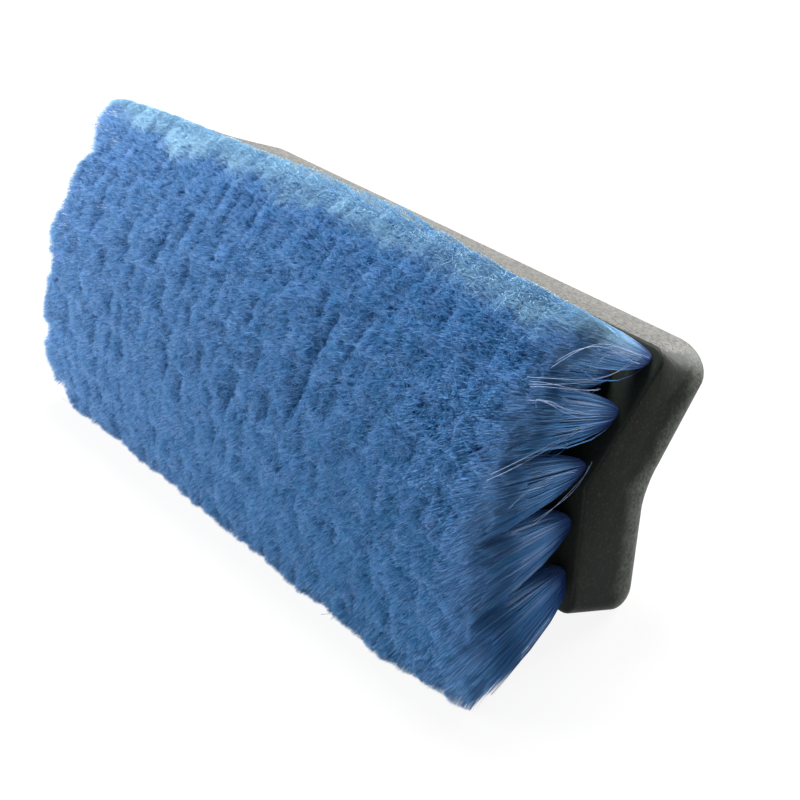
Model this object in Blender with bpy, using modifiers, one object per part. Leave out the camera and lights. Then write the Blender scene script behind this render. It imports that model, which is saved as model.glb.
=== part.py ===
"""Scrub brush head: a chevron block of moulded foam plastic, ten rows of soft tufts and a pole socket.

The brush is modelled upright in a frame of its own, where a section is drawn as (out, up): out is the
way the bristles point, up is across the rows. It is then laid on its side as it is photographed, on the
lower bristle tips and the lower back edge of the block, with +X along the block and the floor at Z = 0.
"""

import math

import bmesh
import bpy
import numpy as np
from mathutils import Matrix, Vector

# Block: length, half its height across both wings, depth at the fold, and the sweep of each wing
BLOCK_LENGTH = 0.254
BLOCK_HALF_HEIGHT = 0.0458
CORE_DEPTH = 0.0355
WING_SWEEP = math.radians(19.8)

# Rounding of the section
FRONT_EDGE_RADIUS = 0.0018
BACK_TOP_RADIUS = 0.0090
BACK_BOTTOM_RADIUS = 0.0060
VALLEY_RADIUS = 0.024
FOLD_RADIUS = 0.003

# Rounding of the two ends, towards the back, the long sides and the bristle face
END_BACK_RADIUS = 0.012
END_SIDE_RADIUS = 0.0050
END_FRONT_RADIUS = 0.0012
END_STEPS = 6

# Boss and socket for the pole, turned about the out axis
BOSS_HEIGHT = 0.0115
BOSS_BASE_RADIUS = 0.0205
BOSS_RIM_RADIUS = 0.0178
BOSS_RIM_ROUND = 0.0016
BOSS_SUNK = 0.006
SOCKET_RADIUS = 0.0095
SOCKET_DEPTH = 0.030
SOCKET_LEAD = 0.0014
SOCKET_POINT = 0.0035
TURNED_STEPS = 48
TURNED_MERGE = 0.00001
CUT_OVERRUN = 0.002

# Tuft rows: ten rows, five on each wing, every other one set in by half a column
ROWS = 10
COLUMNS = 13
ROW_PITCH = 0.00974
END_MARGIN = 0.006
SLICE_WIDTH = 0.0046
SLICE_DEPTH = 0.0036
SLICE_GAP = 0.0003
SLICE_END_STEPS = 6

# Bristles: strands from each tuft, how they fan, droop and lean, and how thick they are
STRAND_SIDES = 3
BRISTLE_LENGTH = 0.050
BRISTLE_LEAN = 0.005
LEAN_DIFFERENCE = 0.0015
INSET_END_SPLAY = 0.009
BRISTLE_DROOP = math.radians(12.8)
BRISTLE_SPREAD = math.radians(23.6)
TUFT_FAN = math.radians(3.7)
STRAND_ROOT_RADIUS = 0.0006
STRAND_TIP_RADIUS = 0.0016
STRAND_ROOT_SPACING = 0.0016
STRAND_SUNK = 0.0012

# Where a tuft's four strands end, as shares of a quarter column pitch and of the tuft's fan
TIP_SPOT_SHARES = ((0.9, 1.0), (-0.5, 1.0), (0.5, -1.0), (-0.9, -1.0))

SHARP_FROM = math.radians(35.0)
STEEPEST_TILT = math.radians(45.0)

BLOCK_GREY = (0.030, 0.033, 0.030, 1.0)
BRISTLE_BLUE = (0.045, 0.165, 0.470, 1.0)


def clear_scene():
    for thing in list(bpy.data.objects):
        bpy.data.objects.remove(thing, do_unlink=True)


def new_collection(name, hidden=False):
    collection = bpy.data.collections.new(name)
    collection.hide_render = hidden
    bpy.context.scene.collection.children.link(collection)
    return collection


def plastic(name, colour, roughness):
    material = bpy.data.materials.new(name)
    material.use_nodes = True
    shader = material.node_tree.nodes["Principled BSDF"]
    shader.inputs["Base Color"].default_value = colour
    shader.inputs["Roughness"].default_value = roughness
    shader.inputs["Metallic"].default_value = 0.0
    return material


def add_object(name, mesh, collection, parent):
    thing = bpy.data.objects.new(name, mesh)
    collection.objects.link(thing)
    thing.parent = parent
    return thing


def make_cutter(thing):
    thing.hide_render = True
    thing.display_type = "WIRE"
    return thing


def mesh_from(bm, name):
    bmesh.ops.recalc_face_normals(bm, faces=bm.faces)
    mesh = bpy.data.meshes.new(name)
    bm.to_mesh(mesh)
    bm.free()
    return mesh


def smooth_shaded(mesh):
    mesh.shade_smooth()
    mesh.set_sharp_from_angle(angle=SHARP_FROM)
    return mesh


def fillet(before, corner, after, radius, steps):
    """Points of an arc that rounds the corner between its two neighbours."""
    to_before = (before - corner).normalized()
    to_after = (after - corner).normalized()
    half_angle = to_before.angle(to_after) / 2
    bisector = (to_before + to_after).normalized()
    centre = corner + bisector * radius / math.sin(half_angle)
    start = corner + to_before * radius / math.tan(half_angle) - centre
    end = corner + to_after * radius / math.tan(half_angle) - centre
    turn = math.pi - 2 * half_angle
    points = []
    for step in range(steps + 1):
        share = step / steps
        first = math.sin((1 - share) * turn) / math.sin(turn)
        last = math.sin(share * turn) / math.sin(turn)
        points.append(centre + start * first + end * last)
    return points


def rounded_outline(corners):
    """The closed outline through corners given as (point, radius, steps)."""
    points = []
    for index, (corner, radius, steps) in enumerate(corners):
        before = corners[index - 1][0]
        after = corners[(index + 1) % len(corners)][0]
        points.extend(fillet(before, corner, after, radius, steps))
    return points


def chevron(back_inset, side_inset, front_inset):
    """The block's section as (out, up) points, drawn in from its back, long sides and bristle face."""
    height = BLOCK_HALF_HEIGHT - side_inset
    swept = height * math.tan(WING_SWEEP)
    fold = -front_inset
    valley = back_inset - CORE_DEPTH
    return rounded_outline([
        (Vector((fold, 0.0)), FOLD_RADIUS, 2),
        (Vector((fold - swept, height)), FRONT_EDGE_RADIUS, 3),
        (Vector((valley - swept, height)), BACK_TOP_RADIUS, 7),
        (Vector((valley, 0.0)), VALLEY_RADIUS, 5),
        (Vector((valley - swept, -height)), BACK_BOTTOM_RADIUS, 7),
        (Vector((fold - swept, -height)), FRONT_EDGE_RADIUS, 3),
    ])


def round_inset(from_end, radius):
    """How far a quarter round has drawn in at this distance from the end it rounds."""
    short = max(radius - from_end, 0.0)
    return radius - math.sqrt(radius * radius - short * short)


def block_stations():
    """Places along X where the block has a section, closer together on the rounded ends."""
    steps = []
    for index in range(END_STEPS + 1):
        turn = index / END_STEPS * math.pi / 2
        steps.append(END_BACK_RADIUS * (1 - math.cos(turn)))
    near = [BLOCK_LENGTH / 2 - step for step in steps]
    return [-place for place in near] + near[::-1]


def block_mesh():
    """A loft through the chevron sections, closed at both ends."""
    bm = bmesh.new()
    rings = []
    for place in block_stations():
        from_end = BLOCK_LENGTH / 2 - abs(place)
        section = chevron(
            round_inset(from_end, END_BACK_RADIUS),
            round_inset(from_end, END_SIDE_RADIUS),
            round_inset(from_end, END_FRONT_RADIUS),
        )
        rings.append([bm.verts.new((place, -point.x, point.y)) for point in section])
    for ring, following in zip(rings, rings[1:]):
        for index in range(len(ring)):
            after = (index + 1) % len(ring)
            bm.faces.new((ring[index], ring[after], following[after], following[index]))
    bm.faces.new(rings[0])
    bm.faces.new(rings[-1])
    return smooth_shaded(mesh_from(bm, "block"))


def turned(name, profile, collection, parent):
    """A solid turned about its Z from (radius, height) points, top to bottom, then laid towards the back."""
    mesh = bpy.data.meshes.new(name)
    points = [(radius, 0.0, height) for radius, height in profile]
    mesh.from_pydata(points, [(index, index + 1) for index in range(len(points) - 1)], [])
    thing = add_object(name, mesh, collection, parent)
    screw = thing.modifiers.new("turn", "SCREW")
    screw.steps = TURNED_STEPS
    screw.render_steps = TURNED_STEPS
    screw.use_merge_vertices = True
    screw.merge_threshold = TURNED_MERGE
    thing.location = (0.0, CORE_DEPTH, 0.0)
    thing.rotation_euler = (-math.pi / 2, 0.0, 0.0)
    return make_cutter(thing)


def boss_solid(collection, parent):
    rim = BOSS_RIM_ROUND
    return turned("boss_form", [
        (0.0, BOSS_HEIGHT),
        (BOSS_RIM_RADIUS - rim, BOSS_HEIGHT),
        (BOSS_RIM_RADIUS - rim * (1 - math.sin(math.pi / 4)), BOSS_HEIGHT - rim * (1 - math.cos(math.pi / 4))),
        (BOSS_RIM_RADIUS, BOSS_HEIGHT - rim),
        (BOSS_BASE_RADIUS, -BOSS_SUNK),
        (0.0, -BOSS_SUNK),
    ], collection, parent)


def socket_cutter(collection, parent):
    floor = BOSS_HEIGHT - SOCKET_DEPTH
    return turned("socket_cut", [
        (0.0, BOSS_HEIGHT + CUT_OVERRUN),
        (SOCKET_RADIUS + SOCKET_LEAD + CUT_OVERRUN, BOSS_HEIGHT + CUT_OVERRUN),
        (SOCKET_RADIUS, BOSS_HEIGHT - SOCKET_LEAD),
        (SOCKET_RADIUS, floor),
        (0.0, floor - SOCKET_POINT),
    ], collection, parent)


def row_along(row):
    """Distance of a row from the fold, measured on the bristle face; negative on the lower wing."""
    return ((ROWS - 1) / 2 - row) * ROW_PITCH


def face_spot(along):
    """(out, up) of a place on the bristle face."""
    return Vector((-abs(along) * math.sin(WING_SWEEP), along * math.cos(WING_SWEEP)))


def column_reach():
    return BLOCK_LENGTH / 2 - END_MARGIN


def column_pitch():
    return 2 * column_reach() / (COLUMNS - 1)


def column_places(row):
    """X of the tufts in a row; every other row is set in by half a column."""
    inset = column_pitch() / 2 * (row % 2)
    count = COLUMNS - row % 2
    return [inset + column_pitch() * column - column_reach() for column in range(count)]


def lay_on_wing(thing, row):
    """Puts an object on the bristle face, its Z out of the face and its origin in the middle of the row."""
    along = row_along(row)
    spot = face_spot(along)
    tilt = math.copysign(WING_SWEEP, along)
    thing.location = (0.0, -spot.x, spot.y)
    thing.rotation_euler = (math.pi / 2 - tilt, 0.0, 0.0)
    return thing


def slot_mesh(name, length, width, depth, above):
    """A slot-shaped solid that lies along X, from its depth up to a height above the face."""
    half_length = length / 2
    half_width = width / 2
    end = [(half_length - half_width, half_width, math.pi / 2), (half_width - half_length, half_width, -math.pi / 2)]
    bm = bmesh.new()
    ring = []
    for centre, radius, first in end:
        for step in range(SLICE_END_STEPS + 1):
            turn = first - math.pi * step / SLICE_END_STEPS
            ring.append(bm.verts.new((centre + radius * math.cos(turn), radius * math.sin(turn), -depth)))
    base = bm.faces.new(ring)
    raised = bmesh.ops.extrude_face_region(bm, geom=[base])
    tops = [item for item in raised["geom"] if isinstance(item, bmesh.types.BMVert)]
    bmesh.ops.translate(bm, verts=tops, vec=(0.0, 0.0, depth + above))
    return mesh_from(bm, name)


def slice_length(row):
    places = column_places(row)
    return places[-1] - places[0] + SLICE_WIDTH


def groove_cutter(row, collection, parent):
    mesh = slot_mesh(
        f"groove_{row + 1}",
        slice_length(row) + 2 * SLICE_GAP,
        SLICE_WIDTH + 2 * SLICE_GAP,
        SLICE_DEPTH + SLICE_GAP,
        CUT_OVERRUN,
    )
    return make_cutter(lay_on_wing(add_object(mesh.name, mesh, collection, parent), row))


def strand_angle(along):
    """Angle of a row's bristles from the out axis: they fan over the wings and droop to the floor side."""
    outermost = row_along(0)
    return BRISTLE_SPREAD * along / outermost - BRISTLE_DROOP


def tuft_lean(row, place):
    """How far the tips of a tuft stand off along X; the last tuft of a set-in row splays into the free place."""
    lean = BRISTLE_LEAN - LEAN_DIFFERENCE * place / column_reach()
    if row % 2 and abs(place) > column_reach() - column_pitch():
        lean += math.copysign(INSET_END_SPLAY, place)
    return lean


def strand_ends(row, place):
    """Root and tip of each strand of one tuft, in the upright frame."""
    along = row_along(row)
    ends = []
    for x_share, fan_share in TIP_SPOT_SHARES:
        root_x = place + math.copysign(STRAND_ROOT_SPACING / 2, x_share)
        root = face_spot(along + math.copysign(STRAND_ROOT_SPACING / 2, fan_share))
        angle = strand_angle(along) + fan_share * TUFT_FAN
        sideways = tuft_lean(row, place) + x_share * column_pitch() / 4
        forward = math.sqrt(BRISTLE_LENGTH**2 - sideways**2)
        tip = root + forward * Vector((math.cos(angle), math.sin(angle)))
        ends.append((Vector((root_x, -root.x, root.y)), Vector((place + sideways, -tip.x, tip.y))))
    return ends


def strands_mesh(row, to_wing):
    """All strands of a row as tapered prisms, in the frame of the row's slice."""
    bm = bmesh.new()
    for place in column_places(row):
        for root, tip in strand_ends(row, place):
            root = to_wing @ root
            tip = to_wing @ tip
            way = (tip - root).normalized()
            start = root - way * STRAND_SUNK
            turn = way.to_track_quat("Z", "Y").to_matrix().to_4x4()
            bmesh.ops.create_cone(
                bm,
                cap_ends=True,
                segments=STRAND_SIDES,
                radius1=STRAND_ROOT_RADIUS,
                radius2=STRAND_TIP_RADIUS,
                depth=(tip - start).length,
                matrix=Matrix.Translation((start + tip) / 2) @ turn,
            )
    return mesh_from(bm, f"strands_{row + 1}")


def bristle_row(row, parts, cutters, parent):
    """One row: a slice of the block's face with the strands of its tufts fused to it."""
    mesh = slot_mesh(f"bristle_row_{row + 1}", slice_length(row), SLICE_WIDTH, SLICE_DEPTH, 0.0)
    piece = lay_on_wing(add_object(mesh.name, mesh, parts, parent), row)
    piece.data.materials.append(plastic(f"bristle_blue_{row + 1}", BRISTLE_BLUE, 0.45))
    placed = Matrix.Translation(piece.location) @ piece.rotation_euler.to_matrix().to_4x4()
    strands = add_object(f"strands_{row + 1}", strands_mesh(row, placed.inverted()), cutters, parent)
    make_cutter(lay_on_wing(strands, row))
    join = piece.modifiers.new("fuse strands", "BOOLEAN")
    join.operation = "UNION"
    join.object = strands
    return piece


def block_piece(parts, cutters, parent):
    piece = add_object("block", block_mesh(), parts, parent)
    piece.data.materials.append(plastic("block_foam_plastic", BLOCK_GREY, 0.72))
    join = piece.modifiers.new("boss", "BOOLEAN")
    join.operation = "UNION"
    join.object = boss_solid(cutters, parent)
    cut = piece.modifiers.new("socket", "BOOLEAN")
    cut.operation = "DIFFERENCE"
    cut.object = socket_cutter(cutters, parent)
    for row in range(ROWS):
        groove = piece.modifiers.new(f"groove {row + 1}", "BOOLEAN")
        groove.operation = "DIFFERENCE"
        groove.object = groove_cutter(row, cutters, parent)
    return piece


def points_of(pieces):
    """Points of the finished pieces, in the upright frame."""
    bpy.context.view_layer.update()
    graph = bpy.context.evaluated_depsgraph_get()
    found = []
    for piece in pieces:
        evaluated = piece.evaluated_get(graph)
        mesh = evaluated.to_mesh()
        found.extend(evaluated.matrix_world @ vertex.co for vertex in mesh.vertices)
        evaluated.to_mesh_clear()
    return np.array(found)


def tipped(points, tilt):
    """The points turned about X so that the bristle side rises by this tilt."""
    cosine = math.cos(tilt)
    sine = math.sin(tilt)
    y = points[:, 1] * cosine + points[:, 2] * sine
    z = points[:, 2] * cosine - points[:, 1] * sine
    return np.column_stack((points[:, 0], y, z))


def lay_down(stand, block, rows):
    """Tilts the brush until its lowest bristle and its block touch the floor, then centres it over it."""
    block_points = points_of([block])
    row_points = points_of(rows)
    low = 0.0
    high = STEEPEST_TILT
    for _ in range(50):
        tilt = (low + high) / 2
        if tipped(row_points, tilt)[:, 2].min() < tipped(block_points, tilt)[:, 2].min():
            low = tilt
        else:
            high = tilt
    points = tipped(np.vstack((block_points, row_points)), tilt)
    lowest = points.min(axis=0)
    highest = points.max(axis=0)
    middle = (lowest + highest) / 2
    stand.rotation_euler = (-tilt, 0.0, 0.0)
    stand.location = (-middle[0], -middle[1], -lowest[2])
    print(f"Laid on its side at {math.degrees(tilt):.2f} degrees, {(highest - lowest).round(4)} m")


def build():
    clear_scene()
    parts = new_collection("scrub_brush")
    cutters = new_collection("cutters", hidden=True)
    stand = bpy.data.objects.new("lying_pose", None)
    parts.objects.link(stand)
    block = block_piece(parts, cutters, stand)
    rows = [bristle_row(row, parts, cutters, stand) for row in range(ROWS)]
    lay_down(stand, block, rows)


build()
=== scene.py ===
import math

import bmesh
import bpy
import numpy as np
from mathutils import Matrix, Vector


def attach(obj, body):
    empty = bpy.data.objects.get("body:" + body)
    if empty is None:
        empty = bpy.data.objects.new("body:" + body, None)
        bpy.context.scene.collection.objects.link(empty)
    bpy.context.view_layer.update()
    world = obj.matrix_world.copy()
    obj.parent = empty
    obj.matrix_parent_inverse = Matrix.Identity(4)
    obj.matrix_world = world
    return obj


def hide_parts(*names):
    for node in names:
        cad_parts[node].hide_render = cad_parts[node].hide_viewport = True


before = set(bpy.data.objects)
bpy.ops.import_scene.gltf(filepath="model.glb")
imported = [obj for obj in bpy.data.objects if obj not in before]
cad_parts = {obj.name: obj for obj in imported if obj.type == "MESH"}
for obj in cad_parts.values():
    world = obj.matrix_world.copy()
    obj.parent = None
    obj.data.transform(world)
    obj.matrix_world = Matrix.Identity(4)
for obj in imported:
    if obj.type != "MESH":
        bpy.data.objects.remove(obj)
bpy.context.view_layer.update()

# CAMERA. It stands in front of the near end and looks down on the bristle face at about 30 degrees,
# with a lens nearly twice as long as normal. Its place was fitted to the photograph.

camera_data = bpy.data.cameras.new("camera")
camera_data.lens = 68.7
camera_data.sensor_width = 36.0
camera = bpy.data.objects.new("camera", camera_data)
camera.location = (0.3854, -0.29383, 0.31904)
camera_turns = (59.497, 0.458, 49.894)
camera.rotation_euler = [math.radians(turn) for turn in camera_turns]
bpy.context.scene.collection.objects.link(camera)
bpy.context.scene.camera = camera
bpy.context.scene.view_settings.view_transform = "Standard"

# STUDIO. A pale floor, a white surround that camera and gloss see, and soft light mostly from above
# and a little behind, so that the top edges are bright and the near end stays dark.


def seen_ray(tree):
    """One for rays from the camera, a gloss or a clear material, nothing for rays that light the brush."""
    path = tree.nodes.new("ShaderNodeLightPath")
    found = path.outputs["Is Camera Ray"]
    for kind in ("Is Glossy Ray", "Is Transmission Ray"):
        either = tree.nodes.new("ShaderNodeMath")
        either.operation = "MAXIMUM"
        tree.links.new(found, either.inputs[0])
        tree.links.new(path.outputs[kind], either.inputs[1])
        found = either.outputs[0]
    return found


surround_light = 0.26
floor_reach = 3.0
paper_tone = (0.90, 0.90, 0.90, 1.0)
paper_whitening = 0.90

world = bpy.data.worlds.new("surround")
bpy.context.scene.world = world
world.use_nodes = True
tree = world.node_tree
tree.nodes.clear()
level = tree.nodes.new("ShaderNodeMapRange")
level.inputs["To Min"].default_value = surround_light
level.inputs["To Max"].default_value = 1.0
tree.links.new(seen_ray(tree), level.inputs["Value"])
background = tree.nodes.new("ShaderNodeBackground")
background.inputs["Color"].default_value = (1.0, 1.0, 1.0, 1.0)
tree.links.new(level.outputs[0], background.inputs["Strength"])
surround = tree.nodes.new("ShaderNodeOutputWorld")
tree.links.new(background.outputs[0], surround.inputs["Surface"])

bm = bmesh.new()
bmesh.ops.create_grid(bm, x_segments=1, y_segments=1, size=floor_reach)
floor_mesh = bpy.data.meshes.new("floor")
bm.to_mesh(floor_mesh)
bm.free()
floor = bpy.data.objects.new("floor", floor_mesh)
bpy.context.scene.collection.objects.link(floor)
paper = bpy.data.materials.new("pale_floor")
paper.use_nodes = True
tree = paper.node_tree
tree.nodes.clear()
matt = tree.nodes.new("ShaderNodeBsdfDiffuse")
matt.inputs["Color"].default_value = paper_tone
white = tree.nodes.new("ShaderNodeEmission")
white.inputs["Color"].default_value = (1.0, 1.0, 1.0, 1.0)
whitened = tree.nodes.new("ShaderNodeMapRange")
whitened.inputs["To Max"].default_value = paper_whitening
tree.links.new(seen_ray(tree), whitened.inputs["Value"])
blend = tree.nodes.new("ShaderNodeMixShader")
tree.links.new(whitened.outputs[0], blend.inputs["Fac"])
tree.links.new(matt.outputs[0], blend.inputs[1])
tree.links.new(white.outputs[0], blend.inputs[2])
ground = tree.nodes.new("ShaderNodeOutputMaterial")
tree.links.new(blend.outputs[0], ground.inputs["Surface"])
floor_mesh.materials.append(paper)


def soft_lamp(name, place, aim, size, watts):
    """A round area lamp at a place, turned towards what it aims at."""
    lamp = bpy.data.lights.new(name, "AREA")
    lamp.shape = "DISK"
    lamp.size = size
    lamp.energy = watts
    holder = bpy.data.objects.new(name, lamp)
    holder.location = place
    holder.rotation_euler = (Vector(aim) - Vector(place)).to_track_quat("-Z", "Y").to_euler()
    bpy.context.scene.collection.objects.link(holder)


soft_lamp("top_lamp", (-0.25, 0.30, 1.00), (0.0, 0.0, 0.06), size=0.5, watts=20.0)
soft_lamp("back_lamp", (0.05, 0.90, 0.38), (0.0, 0.0, 0.05), size=0.5, watts=12.0)
soft_lamp("face_lamp", (-0.46, -0.44, 0.34), (-0.06, 0.0, 0.06), size=0.4, watts=4.2)

# LYING POSE. The pieces below are drawn upright, with X along the block, -Y the way the bristles point
# and Z across the rows, and are then laid on the lower bristle tips and the block's lower back edge.

lying_place = (-0.00181, -0.00357, 0.05983)
lying_tilt = math.radians(23.634)
lying = Matrix.Translation(lying_place) @ Matrix.Rotation(-lying_tilt, 4, "X")
wing_sweep = math.radians(19.8)


def shown(name, mesh, *materials):
    """Lays an upright mesh down and puts it in the scene as a piece of the brush."""
    mesh.transform(lying)
    for material in materials:
        mesh.materials.append(material)
    piece = bpy.data.objects.new(name, mesh)
    bpy.context.scene.collection.objects.link(piece)
    return piece


# BLOCK. One moulding of structural foam plastic: a hard skin, faintly pitted and speckled, over a foamed
# core. Its wings sweep back 20 degrees from the fold, its back edges are well rounded, and the holes for
# the tufts are drilled square to each wing.

block_length = 0.254
block_half_height = 0.0458
core_depth = 0.0355
end_back_radius = 0.0080
end_side_radius = 0.005
end_corner_gain = 0.013
end_corner_radius = 0.018
end_front_radius = 0.0012
end_steps = 12
far_rise = 0.0016
row_pitch = 0.00974
rows = 10
columns = 13
column_reach = block_length / 2 - 0.006
column_pitch = 2 * column_reach / (columns - 1)
hole_radius = 0.0023
hole_depth = 0.006


def row_along(row):
    """How far up the wing a row stands, from the fold."""
    return ((rows - 1) / 2 - row) * row_pitch


def tuft_places(row):
    """Where the tufts of a row stand along the block: every other row is set in by half a column."""
    inset = column_pitch / 2 * (row % 2)
    return [inset + column_pitch * column - column_reach for column in range(columns - row % 2)]


# The section's corners: out, up, radius of the round and its segments
swept = block_half_height * math.tan(wing_sweep)
corners = [
    (0.0, 0.0, 0.003, 4),
    (-swept, block_half_height, 0.0018, 4),
    (-core_depth - swept, block_half_height, 0.0048, 12),
    (-core_depth, 0.0, 0.024, 12),
    (-core_depth - swept, -block_half_height, 0.0064, 10),
    (-swept, -block_half_height, 0.0018, 4),
]
bm = bmesh.new()
outline = [bm.verts.new((-block_length / 2, -out, up)) for out, up, radius, segments in corners]
bm.faces.new(outline)
for index, (out, up, radius, segments) in enumerate(corners):
    here = Vector((-out, up))
    out_before, up_before = corners[index - 1][:2]
    out_after, up_after = corners[(index + 1) % len(corners)][:2]
    before = Vector((-out_before, up_before)) - here
    after = Vector((-out_after, up_after)) - here
    bmesh.ops.bevel(
        bm,
        geom=[outline[index]],
        affect="VERTICES",
        offset=radius / math.tan(before.angle(after) / 2),
        offset_type="OFFSET",
        segments=segments,
        profile=0.5,
        material=-1,
    )
raised = bmesh.ops.extrude_face_region(bm, geom=bm.faces[:])
bmesh.ops.translate(
    bm,
    verts=[item for item in raised["geom"] if isinstance(item, bmesh.types.BMVert)],
    vec=(block_length, 0.0, 0.0),
)
for step in range(1, end_steps + 1):
    from_end = end_corner_radius * (1 - math.cos(step / end_steps * math.pi / 2))
    for place in (from_end - block_length / 2, block_length / 2 - from_end):
        whole = bm.verts[:] + bm.edges[:] + bm.faces[:]
        bmesh.ops.bisect_plane(bm, geom=whole, plane_co=(place, 0, 0), plane_no=(1, 0, 0))


def drawn_in(from_end, radius):
    """How far a quarter round at the end draws a surface in, this far from the end."""
    short = max(radius - from_end, 0.0)
    return radius - math.sqrt(radius * radius - short * short)


# The ends are drawn in by rounds, the largest at the upper back corners
corner_sharpness = 6
corner_fade = 1.6
for vert in bm.verts:
    from_end = max(block_length / 2 - abs(vert.co.x), 0.0)
    swept_here = abs(vert.co.z) * math.tan(wing_sweep)
    behind_face = vert.co.y - swept_here
    at_back = min(max(corner_fade * behind_face / core_depth, 0.0), 1.0)
    upper_corner = max(vert.co.z / block_half_height, 0.0)**corner_sharpness * at_back
    side_radius = end_side_radius + end_corner_gain * upper_corner
    back_radius = end_back_radius + (end_corner_radius - end_back_radius) * upper_corner
    share = 1 - drawn_in(from_end, side_radius) / block_half_height
    vert.co.z *= share
    vert.co.z += far_rise * max(vert.co.z / block_half_height, 0.0) * (0.5 - vert.co.x / block_length)
    vert.co.y += swept_here * (share - 1)
    if behind_face > core_depth / 2:
        vert.co.y -= drawn_in(from_end, back_radius)
    else:
        vert.co.y += drawn_in(from_end, end_front_radius)
bmesh.ops.recalc_face_normals(bm, faces=bm.faces)
block_mesh = bpy.data.meshes.new("block_body")
bm.to_mesh(block_mesh)
bm.free()


def cut_or_join(mesh, other, operation):
    """The mesh after an exact Boolean with another mesh."""
    holder = bpy.data.objects.new("boolean_base", mesh)
    tool = bpy.data.objects.new("boolean_tool", other)
    bpy.context.scene.collection.objects.link(holder)
    bpy.context.scene.collection.objects.link(tool)
    modifier = holder.modifiers.new("boolean", "BOOLEAN")
    modifier.operation = operation
    modifier.solver = "EXACT"
    modifier.object = tool
    bpy.context.view_layer.update()
    made = bpy.data.meshes.new_from_object(holder.evaluated_get(bpy.context.evaluated_depsgraph_get()))
    bpy.data.objects.remove(holder)
    bpy.data.objects.remove(tool)
    return made


# The tuft holes
bm = bmesh.new()
for row in range(rows):
    along = row_along(row)
    tilt = math.copysign(wing_sweep, along)
    for place in tuft_places(row):
        stand = Matrix.Translation((place, abs(along) * math.sin(wing_sweep), along * math.cos(wing_sweep)))
        stand = stand @ Matrix.Rotation(math.pi / 2 - tilt, 4, "X")
        bmesh.ops.create_cone(
            bm,
            cap_ends=True,
            segments=20,
            radius1=hole_radius,
            radius2=hole_radius,
            depth=2 * hole_depth,
            matrix=stand,
        )
hole_mesh = bpy.data.meshes.new("tuft_holes")
bmesh.ops.recalc_face_normals(bm, faces=bm.faces)
bm.to_mesh(hole_mesh)
bm.free()
block_mesh = cut_or_join(block_mesh, hole_mesh, "DIFFERENCE")


def turned_mesh(name, profile):
    """A closed solid turned about the pole's axis, from pairs of radius and distance behind the valley."""
    bm = bmesh.new()
    points = [bm.verts.new((radius, behind, 0.0)) for radius, behind in profile]
    edges = [bm.edges.new(pair) for pair in zip(points, points[1:])]
    bmesh.ops.spin(
        bm, geom=points + edges, cent=(0, 0, 0), axis=(0, 1, 0), dvec=(0, 0, 0), angle=math.tau, steps=96,
        use_merge=True,
    )
    bmesh.ops.remove_doubles(bm, verts=bm.verts, dist=0.00001)
    bmesh.ops.recalc_face_normals(bm, faces=bm.faces)
    bmesh.ops.translate(bm, verts=bm.verts, vec=(0.0, core_depth, 0.0))
    mesh = bpy.data.meshes.new(name)
    bm.to_mesh(mesh)
    bm.free()
    return mesh


# The boss with its rounded rim, and the pole socket with a flared mouth and a pointed floor
boss_height = 0.0115
boss_top_radius = 0.0162
boss_foot_radius = 0.0205
boss_foot = -0.006
rim_radius = 0.0016
rim_round = [
    (boss_top_radius + rim_radius * math.sin(turn), boss_height - rim_radius * (1 - math.cos(turn)))
    for turn in np.linspace(0, math.pi / 2, 6)
]
boss_profile = [(0.0, boss_height)] + rim_round + [(boss_foot_radius, boss_foot), (0.0, boss_foot)]
block_mesh = cut_or_join(block_mesh, turned_mesh("boss", boss_profile), "UNION")
socket_radius = 0.0095
mouth_radius = 0.0129
proud = 0.002
socket_profile = [
    (0.0, boss_height + proud),
    (mouth_radius, boss_height + proud),
    (socket_radius, boss_height - 0.0014),
    (socket_radius, boss_height - 0.030),
    (0.0, boss_height - 0.0335),
]
block_mesh = cut_or_join(block_mesh, turned_mesh("socket", socket_profile), "DIFFERENCE")
block_mesh.shade_smooth()
block_mesh.set_sharp_from_angle(angle=math.radians(38.0))

# The skin: dark plastic made near-black as painted shade, a lighter grey along the back as a painted
# highlight, a much paler flank that faces up as painted light from above, and dusted with specks
foam = bpy.data.materials.new("moulded_foam_plastic")
foam.use_nodes = True
tree = foam.node_tree
shader = tree.nodes["Principled BSDF"]
shader.inputs["Specular IOR Level"].default_value = 0.06
where = tree.nodes.new("ShaderNodeTexCoord")


def noise(tree, vector, scale, detail, rough):
    node = tree.nodes.new("ShaderNodeTexNoise")
    node.inputs["Scale"].default_value = scale
    node.inputs["Detail"].default_value = detail
    node.inputs["Roughness"].default_value = rough
    tree.links.new(vector, node.inputs["Vector"])
    return node.outputs["Fac"]


def grey(level):
    return (level, level, level)


def ramp(tree, value, stops):
    """A colour ramp through stops, each a position and a colour."""
    node = tree.nodes.new("ShaderNodeValToRGB")
    node.color_ramp.elements[0].position = stops[0][0]
    node.color_ramp.elements[0].color = (*stops[0][1], 1.0)
    node.color_ramp.elements[1].position = stops[-1][0]
    node.color_ramp.elements[1].color = (*stops[-1][1], 1.0)
    for position, colour in stops[1:-1]:
        node.color_ramp.elements.new(position).color = (*colour, 1.0)
    tree.links.new(value, node.inputs["Fac"])
    return node.outputs["Color"]


def mixed(tree, factor, first, second, blend="MIX"):
    """Two colours mixed. Each of the three inputs is a socket or a value."""
    node = tree.nodes.new("ShaderNodeMix")
    node.data_type = "RGBA"
    node.blend_type = blend
    for name, kind, value in (("Factor", "VALUE", factor), ("A", "RGBA", first), ("B", "RGBA", second)):
        socket = next(s for s in node.inputs if s.name == name and s.type == kind)
        if isinstance(value, bpy.types.NodeSocket):
            tree.links.new(value, socket)
        else:
            socket.default_value = value
    return next(s for s in node.outputs if s.type == "RGBA")


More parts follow.
